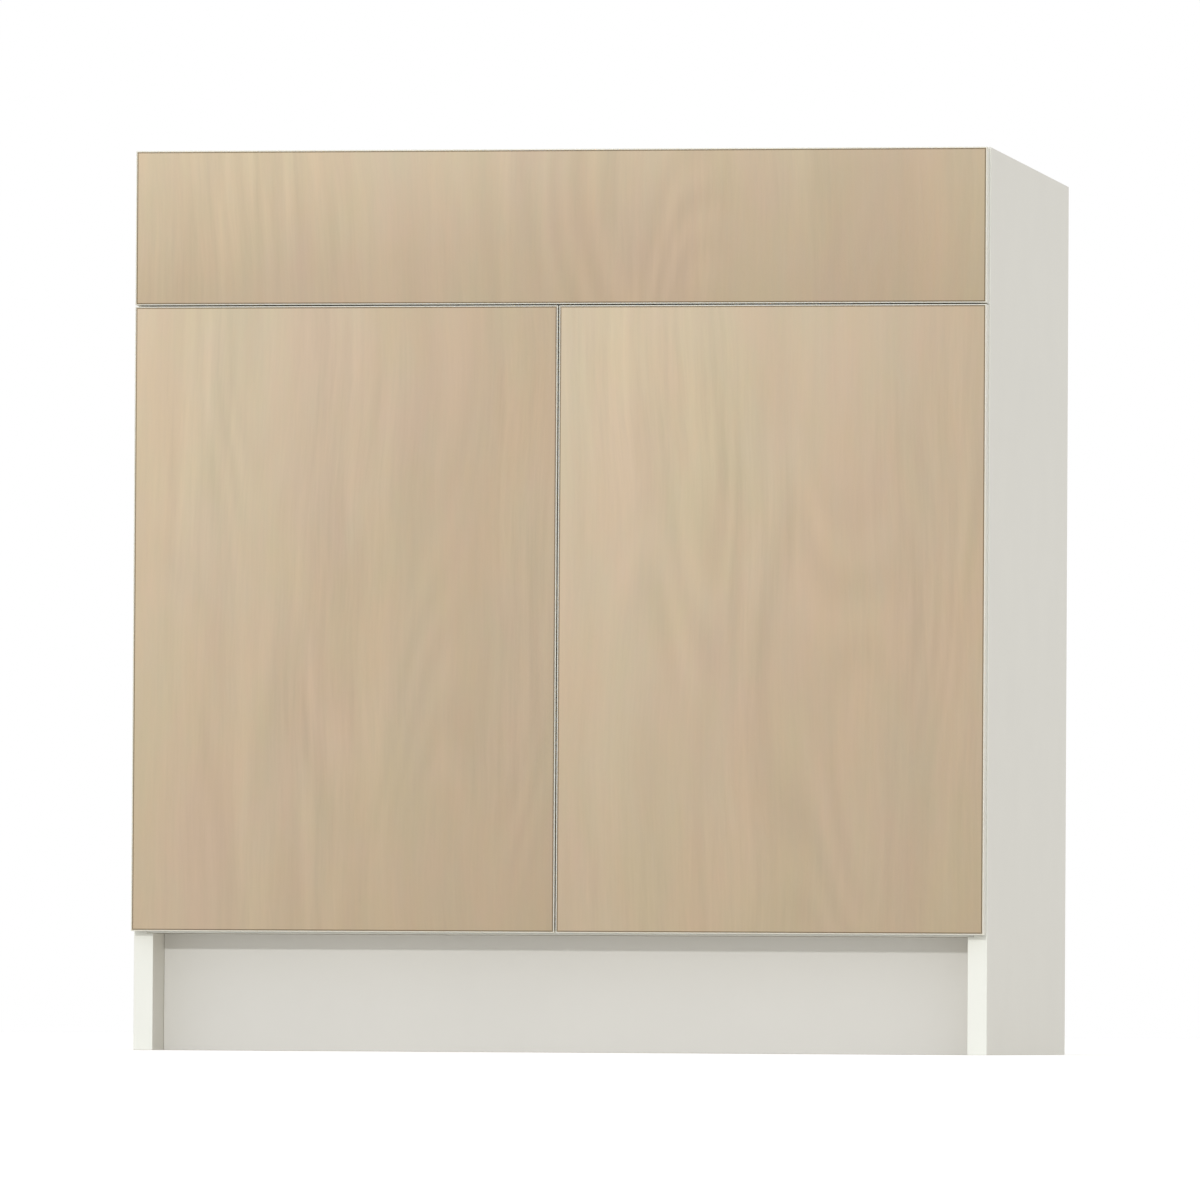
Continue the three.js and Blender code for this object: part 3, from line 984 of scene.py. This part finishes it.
@dataclass
class Front:
    """A slab front: a wood face with a pale edge band, and a fine grooved line where the two meet, darkened
    as a joint line and as painted shade.

    Attributes:
        node: The front's node.
        body: The body that carries it.
        seed: What sets its grain apart.
        palette: The shared finishes.
        band: How much of the band shows round the face, in metres.
        line: How wide the line beside it is, in metres.
        line_depth: How deep that line is, in metres.
        arris: How far the outer edges are eased, in metres.
    """

    node: str
    body: str
    seed: float
    palette: Palette
    band: float = 1.1 * MM
    line: float = 1.2 * MM
    line_depth: float = 0.5 * MM
    arris: float = 0.5 * MM

    def build(self) -> None:
        """Builds the front and rides it on its body."""
        low, high = (tuple(corner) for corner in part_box(self.node))
        face = FrontWood(f"{self.node}_wood", low, high, self.seed).build()
        # The line's wood is darker: a dark joint line, and painted shade in its groove.
        line = FrontWood(f"{self.node}_line", low, high, self.seed, depth=0.6).build()
        core = self.palette.chipboard
        materials = [face, line, self.palette.pale_band, core]
        slab = to_mesh(self.slab(Vector(low), Vector(high)), self.node + "_slab")
        holes = self.holes()
        for material in materials:
            slab.materials.append(material)
            for hole in holes:
                hole.materials.append(material)
        for hole in holes:
            hole.polygons.foreach_set("material_index", [CORE] * len(hole.polygons))
        mesh = combined(slab, [("DIFFERENCE", hole) for hole in holes])
        mesh.name = self.node + "_front"
        settle(finished(self.node + "_front", mesh, materials), self.body, Slot.WOOD, self.node)

    def slab(self, low: Vector, high: Vector) -> bmesh.types.BMesh:
        """The board with its banded border, its line and its eased edges.

        Args:
            low: The front's lowest corner.
            high: The front's highest corner.

        Returns:
            The shape, with its faces numbered WOOD, LINE and BAND.
        """
        shape = block(low, high)
        for face in shape.faces:
            face.material_index = BAND
        rear = max(shape.faces, key=lambda face: face.calc_center_median().y)
        border = list(shape.edges)
        for face in (self.front_face(shape), rear):
            bmesh.ops.inset_region(shape, faces=[face], thickness=self.band, use_even_offset=True)
            face.material_index = WOOD
        face = self.front_face(shape)
        for depth in (-self.line_depth, self.line_depth):
            ring = bmesh.ops.inset_region(
                shape, faces=[face], thickness=self.line / 2, depth=depth, use_even_offset=True
            )
            for side in ring["faces"]:
                side.material_index = LINE
            face.material_index = WOOD
        bmesh.ops.bevel(
            shape,
            geom=border,
            offset=self.arris,
            offset_type="OFFSET",
            segments=3,
            profile=0.5,
            affect="EDGES",
            clamp_overlap=True,
            material=BAND,
        )
        return shape

    @staticmethod
    def front_face(shape: bmesh.types.BMesh) -> bmesh.types.BMFace:
        """The largest face that looks forwards."""
        forwards = [face for face in shape.faces if face.normal.y < -0.9]
        return max(forwards, key=lambda face: face.calc_area())

    def holes(self) -> list[Mesh]:
        """The front's holes as cutting meshes."""
        return []


@dataclass
class Door(Front):
    """A door: a front with a bore and two screw holes behind each hinge cup.

    Attributes:
        side: The door's side.
        cup_bore: The cup bores' radius, in metres.
        screw_bore: The screw holes' radius.
        floor_gap: How much deeper than its cup a bore is.
    """

    side: Side = Side.LEFT
    cup_bore: float = 17.8 * MM
    screw_bore: float = 2.1 * MM
    floor_gap: float = 0.3 * MM

    def holes(self) -> list[Mesh]:
        """Gives the cup bores and the cup screws' holes.

        Returns:
            The cutting meshes.
        """
        made = []
        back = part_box(self.node)[1].y
        for level in Level:
            tag = f"{self.side.value}_{level.value}"
            low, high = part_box(f"hinge_cup_{tag}")
            middle = (low + high) / 2
            centre = cup_centre(self.side, tag)
            depth = back - low.y + self.floor_gap
            made.append(bore(self.cup_bore, depth, (centre, back, middle.z), 64))
            for end in ("bottom", "top"):
                lowest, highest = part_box(f"cup_screw_{tag}_{end}")
                spot = (lowest + highest) / 2
                made.append(bore(self.screw_bore, back - lowest.y, (spot.x, back, spot.z), 20))
        return made


@dataclass
class FalseFront(Front):
    """The fixed front, with blind holes for the screws that hold it.

    Attributes:
        screw_bore: The screw holes' radius, in metres.
        tip_gap: How far a hole runs past its screw's tip.
    """

    screw_bore: float = 2.3 * MM
    tip_gap: float = 1 * MM

    def holes(self) -> list[Mesh]:
        """Gives the fixing screws' holes.

        Returns:
            The cutting meshes.
        """
        made = []
        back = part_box(self.node)[1].y
        for side in Side:
            for level in Level:
                low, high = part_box(f"false_front_screw_{side.value}_{level.value}")
                spot = (low + high) / 2
                depth = back - low.y + self.tip_gap
                made.append(bore(self.screw_bore, depth, (spot.x, back, spot.z), 20))
        return made


def cup_centre(side: Side, tag: str) -> float:
    """The x of a hinge cup's centre: its flange's outer edge, one flange radius in."""
    low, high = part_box(f"hinge_cup_{tag}")
    return low.x + HingeCup.flange_radius if side is Side.LEFT else high.x - HingeCup.flange_radius


def bore(radius: float, depth: float, mouth: Triple, sides: int) -> Mesh:
    """A cutting mesh for a round hole that runs forwards from its mouth.

    Args:
        radius: The hole's radius.
        depth: How far it runs in from its mouth.
        mouth: The middle of its open end.
        sides: How many sides it has.

    Returns:
        The mesh, which runs a millimetre past the mouth.
    """
    profile = [(0, -1 * MM), (radius, -1 * MM), (radius, depth), (0, depth)]
    shape = lathe(profile, sides)
    bmesh.ops.transform(shape, matrix=aligned(Vector((0, -1, 0)), mouth), verts=shape.verts)
    return to_mesh(shape, "bore")


# ---- Screws and bumpers --------------------------------------------------------------------------


@dataclass
class Screw:
    """A screw with a domed head and a cross recess, made once and copied to each place.

    Attributes:
        name: What the screw is for.
        head: Its head's radius, in metres.
        rise: Its head's height.
        shank: Its shank's radius.
        length: Its length under the head.
        palette: The shared finishes.
        sides: How many sides it has.
    """

    name: str
    head: float
    rise: float
    shank: float
    length: float
    palette: Palette
    sides: int = 28
    made: Mesh | None = None

    def solid(self) -> Mesh:
        """The screw along Z with the underside of its head at the origin, its head up.

        Returns:
            The mesh, made on the first call.
        """
        if self.made is not None:
            return self.made
        head, rise, shank, length = self.head, self.rise, self.shank, self.length
        taper = min(2.2 * shank, 0.6 * length)
        profile = [(0.0, -length), (0.3 * shank, -length + 0.2 * taper), (shank, -length + taper)]
        profile += [(shank, -0.3 * MM), (shank + 0.2 * MM, 0.0), (0.94 * head, 0.0), (head, 0.12 * rise)]
        for step in range(1, 7):
            turn = step / 6 * math.pi / 2
            out = 0.55 + 0.45 * math.cos(turn)
            profile.append((head * out, rise * (0.3 + 0.7 * math.sin(turn))))
        profile.append((0.0, rise))
        body = to_mesh(lathe(profile, self.sides), self.name)
        half, wide, deep = 0.56 * head, 0.13 * head, 0.62 * rise
        tools = []
        for turn in (0.0, math.pi / 2):
            bar = block((-half, -wide, rise - deep), (half, wide, rise + 1 * MM))
            for vert in bar.verts:
                if vert.co.z < rise:
                    vert.co.x *= 0.5
            bmesh.ops.rotate(bar, verts=bar.verts, matrix=Matrix.Rotation(turn, 3, "Z"))
            tool = to_mesh(bar, "recess")
            tool.materials.append(self.palette.zinc)
            tool.materials.append(self.palette.recess)
            # The recess's faces take the darker steel, which is painted shade.
            tool.polygons.foreach_set("material_index", [1] * len(tool.polygons))
            tools.append(("DIFFERENCE", tool))
        body.materials.append(self.palette.zinc)
        body.materials.append(self.palette.recess)
        self.made = combined(body, tools)
        return self.made

    def drive(self, name: str, seat: Triple, way: Vector, turn: float, body: str, *nodes: str) -> None:
        """Puts a copy in place.

        Args:
            name: The piece's name.
            seat: Where the underside of its head lies.
            way: The direction that its head looks in.
            turn: How far the recess is turned, in radians.
            body: The body that carries it.
            *nodes: The CAD nodes that it replaces.
        """
        mesh = self.solid().copy()
        mesh.name = name
        mesh.transform(aligned(way, seat) @ Matrix.Rotation(turn, 4, "Z"))
        settle(finished(name, mesh, [self.palette.zinc, self.palette.recess]), body, Slot.ZINC, *nodes)


@dataclass
class Bumper:
    """A clear dome stuck to the back of a front."""

    palette: Palette
    sides: int = 36

    def stick(self, node: str, body: str) -> None:
        """Builds the bumper that a node stands for.

        Args:
            node: The bumper's node.
            body: The body that carries it.
        """
        low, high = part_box(node)
        radius, rise = (high.x - low.x) / 2, high.y - low.y
        profile = [(0.0, 0.0), (0.94 * radius, 0.0), (radius, 0.06 * rise), (radius, 0.3 * rise)]
        for step in range(1, 8):
            turn = step / 8 * math.pi / 2
            profile.append((radius * (0.45 + 0.55 * math.cos(turn)), rise * (0.3 + 0.7 * math.sin(turn))))
        profile.append((0.0, rise))
        shape = lathe(profile, self.sides)
        middle = (low + high) / 2
        place = aligned(Vector((0, 1, 0)), (middle.x, low.y, middle.z))
        bmesh.ops.transform(shape, matrix=place, verts=shape.verts)
        name = node + "_dome"
        settle(finished(name, to_mesh(shape, name), [self.palette.bumper]), body, Slot.BUMPER, node)


# ---- Hinges --------------------------------------------------------------------------------------


@dataclass
class HingeCup:
    """The pressed cup in the door, with its flange and the cup link's pin.

    Attributes:
        palette: The shared finishes.
        flange_radius: The round flange's radius, in metres.
        sides: How many sides the cup has.
        radius: The cup's outer radius.
        wall: Its wall's thickness.
        flange: Its flange's thickness.
        wing: Half the width of the bar between the screws.
        hole: The screw holes' radius.
        pin: The pin's radius.
        pin_setback: How far the pin lies from the cup's axis.
    """

    flange_radius = 18.7 * MM
    palette: Palette
    sides: int = 72
    radius: float = 17.5 * MM
    wall: float = 1.6 * MM
    flange: float = 1.1 * MM
    wing: float = 5.6 * MM
    hole: float = 2.1 * MM
    pin: float = 1.5 * MM
    pin_setback: float = 5.5 * MM

    def build(self, side: Side, tag: str) -> None:
        """Builds one cup.

        Args:
            side: The door's side.
            tag: The hinge's side and level, as its nodes' names end.
        """
        node = f"hinge_cup_{tag}"
        low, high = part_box(node)
        rim, floor = high.y, low.y
        middle = (low.z + high.z) / 2
        centre = cup_centre(side, tag)
        screws = [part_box(f"cup_screw_{tag}_{end}") for end in ("bottom", "top")]
        spots = [(a + b) / 2 for a, b in screws]
        bar_x = spots[0].x - centre
        reach = abs(spots[1].z - spots[0].z) / 2
        ends = [(bar_x, way * reach) for way in (-1, 1)]
        tools = [("UNION", self.bar(bar_x, reach))]
        tools += [("UNION", self.disc(self.wing, end)) for end in ends]
        tools.append(("UNION", self.turned(self.outside(rim - floor))))
        tools.append(("DIFFERENCE", self.turned(self.hollow(rim - floor))))
        through = [(0, 1 * MM), (self.hole, 1 * MM), (self.hole, -2 * MM), (0, -2 * MM)]
        tools += [("DIFFERENCE", self.turned(through, end)) for end in ends]
        mesh = combined(self.disc(self.flange_radius), tools)
        shape = bmesh.new()
        shape.from_mesh(mesh)
        ease(shape, 0.22 * MM, 2, 50.0)
        bmesh.ops.transform(shape, matrix=Matrix.Translation((centre, rim, middle)), verts=shape.verts)
        pin = self.pin_mesh(side, centre, middle)
        mesh = combined(to_mesh(shape, node), [("UNION", pin)])
        mesh.name = node + "_pressing"
        settle(finished(node + "_pressing", mesh, [self.palette.nickel]), side.door_body, Slot.NICKEL, node)

    def outside(self, depth: float) -> list[tuple[float, float]]:
        """The outline of the cup's outside, from just under its rim to its chamfered floor.

        Args:
            depth: How deep the cup is.

        Returns:
            Radius and height of each point.
        """
        return [
            (0, -0.2 * MM),
            (self.radius, -0.2 * MM),
            (self.radius, 2 * MM - depth),
            (self.radius - 0.6 * MM, 0.6 * MM - depth),
            (self.radius - 2 * MM, -depth),
            (0, -depth),
        ]

    def hollow(self, depth: float) -> list[tuple[float, float]]:
        """The outline of the cup's hollow, from above its rim to its chamfered floor.

        Args:
            depth: How deep the cup is.

        Returns:
            Radius and height of each point.
        """
        inner = self.radius - self.wall
        return [
            (0, 1 * MM),
            (inner + 0.6 * MM, 1 * MM),
            (inner + 0.6 * MM, 0),
            (inner, -0.6 * MM),
            (inner, 3.4 * MM - depth),
            (inner - 0.7 * MM, 2 * MM - depth),
            (inner - 2.2 * MM, self.wall - depth),
            (0, self.wall - depth),
        ]

    def turned(self, profile: list[tuple[float, float]], spot: tuple[float, float] = (0.0, 0.0)) -> Mesh:
        """A form turned about the cup's own axis or a line beside it.

        Args:
            profile: Radius and height of each point.
            spot: Where the line stands, in x and z from the cup's axis.

        Returns:
            The mesh.
        """
        sides = self.sides if max(radius for radius, _ in profile) > 8 * MM else 24
        shape = lathe(profile, sides)
        way = Matrix.Rotation(-math.pi / 2, 4, "X")
        bmesh.ops.transform(shape, matrix=Matrix.Translation((spot[0], 0, spot[1])) @ way, verts=shape.verts)
        return to_mesh(shape, "turned")

    def bar(self, x: float, reach: float) -> Mesh:
        """The flat bar between the flange's two ears."""
        return to_mesh(block((x - self.wing, -self.flange, -reach), (x + self.wing, 0, reach)), "bar")

    def disc(self, radius: float, spot: tuple[float, float] = (0.0, 0.0)) -> Mesh:
        """A flat disc as thick as the flange."""
        return self.turned([(0, 0), (radius, 0), (radius, -self.flange), (0, -self.flange)], spot)

    def pin_mesh(self, side: Side, centre: float, middle: float) -> Mesh:
        """The pin that crosses the cup, on which the cup link turns.

        Args:
            side: The door's side.
            centre: The x of the cup's axis.
            middle: The z of the cup's axis.

        Returns:
            The mesh.
        """
        x = centre + side.outward * self.pin_setback
        y = cup_pin_depth()
        reach = math.sqrt((self.radius - self.wall / 2) ** 2 - self.pin_setback**2)
        shape = lathe([(0, -reach), (self.pin, -reach), (self.pin, reach), (0, reach)], 20)
        bmesh.ops.transform(shape, matrix=Matrix.Translation((x, y, middle)), verts=shape.verts)
        return to_mesh(shape, "pin")


def cup_pin_depth() -> float:
    """The y of the cup links' pins, which is where their joint turns."""
    joint = next(j for j in frame["joints"] if j["name"] == "left_cup_link_pivot")
    return joint["pos_m"][1]


@dataclass
class Hinge:
    """One concealed hinge: cup, links, arm, mounting plate and screws.

    Attributes:
        side: The door's side.
        level: Which hinge of that door.
        palette: The shared finishes.
        cup_screw: The screw that holds the cup.
        plate_screw: The screw that holds the mounting plate.
        adjuster: The screw that sets the door on the arm.
    """

    side: Side
    level: Level
    palette: Palette
    cup_screw: Screw
    plate_screw: Screw
    adjuster: Screw

    @property
    def tag(self) -> str:
        """How this hinge's nodes' names end."""
        return f"{self.side.value}_{self.level.value}"

    def build(self) -> None:
        """Builds every piece of the hinge."""
        HingeCup(self.palette).build(self.side, self.tag)
        self.press_arm()
        self.eased("hinge_plate", "carcass", self.palette.nickel, 0.4 * MM)
        self.eased("hinge_elbow_link", f"{self.side.value}_elbow_links", self.palette.link_steel, 0.3 * MM)
        self.eased("hinge_cup_link", f"{self.side.value}_cup_links", self.palette.link_steel, 0.3 * MM)
        for number, end in enumerate(("bottom", "top")):
            self.drive_cup_screw(end, 0.35 + 0.9 * number)
            self.drive_plate_screw(end, 0.2 + 0.7 * number)

    def eased(self, kind: str, body: str, material: Material, width: float) -> None:
        """Eases the edges of one pressed piece.

        Args:
            kind: The first part of its node's name.
            body: The body that carries it.
            material: Its finish.
            width: How far its edges are eased.
        """
        node = f"{kind}_{self.tag}"
        shape = node_shape(node)
        ease(shape, width)
        name = node + "_pressing"
        settle(finished(name, to_mesh(shape, name), [material]), body, Slot.NICKEL, node)

    def press_arm(self) -> None:
        """Rounds the arm's channel, sinks two adjusting screws in its web and drives them."""
        node = f"hinge_arm_{self.tag}"
        inward = -self.side.outward
        shape = node_shape(node)
        facing = [face for face in shape.faces if face.normal.x * inward > 0.9]
        web = max(facing, key=lambda face: face.calc_area())
        near, far = (pick(vert.co.y for vert in web.verts) for pick in (min, max))
        face, middle = web.calc_center_median().x, web.calc_center_median().z
        long_edges = [edge for edge in web.edges if edge.calc_length() > 0.8 * (far - near)]
        bmesh.ops.bevel(shape, geom=long_edges, offset=1.1 * MM, segments=4, profile=0.5, affect="EDGES")
        ease(shape, 0.25 * MM)
        mesh = to_mesh(shape, node)
        way = Vector((inward, 0, 0))
        pockets = []
        for share, slot in ((0.2, 0.0), (0.7, 2.2 * MM)):
            seat = (face - inward * 0.55 * MM, near + share * (far - near), middle)
            pockets.append(("DIFFERENCE", self.pocket(seat, way, slot)))
            name = f"arm_adjuster_{self.tag}_{'rear' if slot else 'front'}"
            self.adjuster.drive(name, seat, way, 0.5 + 9 * share, "carcass")
        mesh = combined(mesh, pockets)
        mesh.name = node + "_pressing"
        settle(finished(mesh.name, mesh, [self.palette.nickel]), "carcass", Slot.NICKEL, node)

    @staticmethod
    def pocket(seat: Triple, way: Vector, slot: float) -> Mesh:
        """A cutting mesh for the sunk seat of an adjusting screw and the hole under it.

        Args:
            seat: The middle of the seat's floor.
            way: The direction that the seat opens in.
            slot: How far each half of the seat is drawn out along the arm.

        Returns:
            The mesh.
        """
        hole, wide = 1.1 * MM, 3.4 * MM
        profile = [(0, -1 * MM), (hole, -1 * MM), (hole, 0), (wide, 0), (wide, 2 * MM), (0, 2 * MM)]
        shape = lathe(profile, 28)
        bmesh.ops.transform(shape, matrix=aligned(way, seat), verts=shape.verts)
        for vert in shape.verts:
            vert.co.y += slot if vert.co.y >= seat[1] else -slot
        return to_mesh(shape, "pocket")

    def drive_cup_screw(self, end: str, turn: float) -> None:
        """Drives one of the screws that hold the cup to the door.

        Args:
            end: The screw's end of the hinge, bottom or top.
            turn: How far its recess is turned, in radians.
        """
        node = f"cup_screw_{self.tag}_{end}"
        low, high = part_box(node)
        spot = (low + high) / 2
        seat = (spot.x, high.y - self.cup_screw.rise, spot.z)
        self.cup_screw.drive(node + "_driven", seat, Vector((0, 1, 0)), turn, self.side.door_body, node)

    def drive_plate_screw(self, end: str, turn: float) -> None:
        """Drives one of the screws that hold the mounting plate to the side panel.

        Args:
            end: The screw's end of the hinge, bottom or top.
            turn: How far its recess is turned, in radians.
        """
        node = f"plate_screw_{self.tag}_{end}"
        low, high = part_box(node)
        spot = (low + high) / 2
        inward = -self.side.outward
        face = high.x if inward > 0 else low.x
        seat = (face - inward * self.plate_screw.rise, spot.y, spot.z)
        self.plate_screw.drive(node + "_driven", seat, Vector((inward, 0, 0)), turn, "carcass", node)


# ---- The whole cabinet ---------------------------------------------------------------------------


@dataclass
class Cabinet:
    """The whole sink base."""

    palette: Palette = field(default_factory=Palette)

    def build(self) -> None:
        """Builds the sub-assemblies in order."""
        Carcass(self.palette).build()
        Door("door_left", Side.LEFT.door_body, 3.1, self.palette, side=Side.LEFT).build()
        Door("door_right", Side.RIGHT.door_body, 7.4, self.palette, side=Side.RIGHT).build()
        FalseFront("false_front", "carcass", 12.9, self.palette).build()
        self.fix_false_front()
        cup_screw = Screw("cup_screw", 3.6 * MM, 1.8 * MM, 1.8 * MM, 11.5 * MM, self.palette)
        plate_screw = Screw("plate_screw", 4 * MM, 2 * MM, 2.5 * MM, 12.5 * MM, self.palette)
        adjuster = Screw("arm_adjuster", 2.8 * MM, 0.9 * MM, 0.9 * MM, 1 * MM, self.palette)
        for side in Side:
            for level in Level:
                Hinge(side, level, self.palette, cup_screw, plate_screw, adjuster).build()
        self.stick_bumpers()

    def fix_false_front(self) -> None:
        """Drives the screws that hold the false front to its rails."""
        screw = Screw("false_front_screw", 4.5 * MM, 2.6 * MM, 2 * MM, 29 * MM, self.palette)
        for number, (side, level) in enumerate((side, level) for side in Side for level in Level):
            node = f"false_front_screw_{side.value}_{level.value}"
            low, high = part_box(node)
            spot = (low + high) / 2
            seat = (spot.x, high.y - screw.rise, spot.z)
            screw.drive(node + "_driven", seat, Vector((0, 1, 0)), 0.6 * number, "carcass", node)

    def stick_bumpers(self) -> None:
        """Sticks the bumpers to the doors and the false front."""
        bumper = Bumper(self.palette)
        for side in Side:
            for level in Level:
                bumper.stick(f"door_bumper_{side.value}_{level.value}", side.door_body)
                bumper.stick(f"false_front_bumper_{side.value}_{level.value}", "carcass")


# ---- The studio ----------------------------------------------------------------------------------


@dataclass(frozen=True)
class Studio:
    """A pale floor, soft light all round, a low key light from the front and the camera.

    Attributes:
        sky: How strong the light all round is.
        key: The key light's strength.
        key_height: The key light's height above the horizon, in degrees.
        key_width: The key light's width across, in degrees.
        floor_lift: How much of its own light the floor shows to the camera.
        eye: The camera's place.
        aim: What it looks at.
        roll: How far it is turned about its own axis, in radians.
        lens: Its focal length, in millimetres.
    """

    sky: float = 0.84
    key: float = 0.71
    key_height: float = 12.5
    key_width: float = 1.5
    floor_lift: float = 0.36
    eye: Triple = (2.086, -12.669, 0.02)
    aim: Triple = (-0.008, 0.0, 0.448)
    roll: float = 0.006
    lens: float = 388.905

    def build(self) -> None:
        """Sets up the world, the floor, the key light and the camera."""
        bpy.context.scene.view_settings.view_transform = "Standard"
        self.light_world()
        self.lay_floor()
        self.hang_key()
        self.set_camera()

    @staticmethod
    def seen_directly(tree: Tree) -> NodeSocket:
        """1 for what the camera sees straight on, in a mirror or through glass.

        Args:
            tree: The tree that gets the nodes.

        Returns:
            The mask.
        """
        path = tree.node("LightPath")
        most = tree.maths("MAXIMUM", path.outputs["Is Camera Ray"], path.outputs["Is Glossy Ray"])
        return tree.maths("MAXIMUM", most, path.outputs["Is Transmission Ray"])

    def light_world(self) -> None:
        """Lights the scene evenly and shows white behind it."""
        world = bpy.data.worlds.new("soft_studio")
        bpy.context.scene.world = world
        world.use_nodes = True
        tree = Tree(world.node_tree)
        background = world.node_tree.nodes["Background"]
        background.inputs["Color"].default_value = (1.0, 1.0, 1.0, 1.0)
        inputs = {0: self.seen_directly(tree), 1: 0.0, 2: 1.0, 3: self.sky, 4: 1.0}
        tree.feed(background.inputs["Strength"], tree.node("MapRange", inputs).outputs[0])

    def lay_floor(self) -> None:
        """Lays a pale floor that shows white and keeps the cabinet's shadow."""
        shape = bmesh.new()
        bmesh.ops.create_grid(shape, x_segments=8, y_segments=8, size=45.0)
        mesh = to_mesh(shape, "studio_floor")
        floor = bpy.data.objects.new("studio_floor", mesh)
        bpy.context.scene.collection.objects.link(floor)
        made, tree, shader = new_material("pale_floor")
        place = tree.node("TexCoord").outputs["Object"]
        cloud = tree.between(tree.noise(place, (0.8, 0.8, 0.8), 3.0), 0.3, 0.7, 0.0, 1.0)
        pale = tree.mixed(cloud, srgb(229, 229, 228), srgb(232, 232, 231))
        tree.feed(shader.inputs["Base Color"], pale)
        shader.inputs["Roughness"].default_value = 0.9
        shader.inputs["Specular IOR Level"].default_value = 0.1
        lift = tree.maths("MULTIPLY", self.seen_directly(tree), self.floor_lift)
        shader.inputs["Emission Color"].default_value = (1.0, 1.0, 1.0, 1.0)
        tree.feed(shader.inputs["Emission Strength"], lift)
        mesh.materials.append(made)

    def hang_key(self) -> None:
        """Hangs the key light low in front."""
        light = bpy.data.lights.new("front_key", "SUN")
        light.energy = self.key
        light.angle = math.radians(self.key_width)
        lamp = bpy.data.objects.new("front_key", light)
        bpy.context.scene.collection.objects.link(lamp)
        height = math.radians(self.key_height)
        towards = Vector((0.0, -math.cos(height), math.sin(height)))
        lamp.rotation_euler = towards.to_track_quat("Z", "Y").to_euler()

    def set_camera(self) -> None:
        """Places the camera where the photograph was taken from."""
        camera = bpy.data.cameras.new("photo_camera")
        camera.lens = self.lens
        camera.sensor_width = 36.0
        camera.clip_end = 200.0
        holder = bpy.data.objects.new("photo_camera", camera)
        bpy.context.scene.collection.objects.link(holder)
        forward = (Vector(self.aim) - Vector(self.eye)).normalized()
        right = forward.cross(Vector((0, 0, 1))).normalized()
        up = right.cross(forward)
        across = math.cos(self.roll) * right + math.sin(self.roll) * up
        upright = across.cross(forward)
        turn = Matrix((across, upright, -forward)).transposed().to_4x4()
        holder.matrix_world = Matrix.Translation(self.eye) @ turn
        bpy.context.scene.camera = holder


# ---- Building it ---------------------------------------------------------------------------------


def main() -> None:
    """Builds the studio and the cabinet."""
    logging.basicConfig(level=logging.INFO, format="%(name)s: %(message)s")
    Studio().build()
    Cabinet().build()


if __name__ == "__main__":
    main()
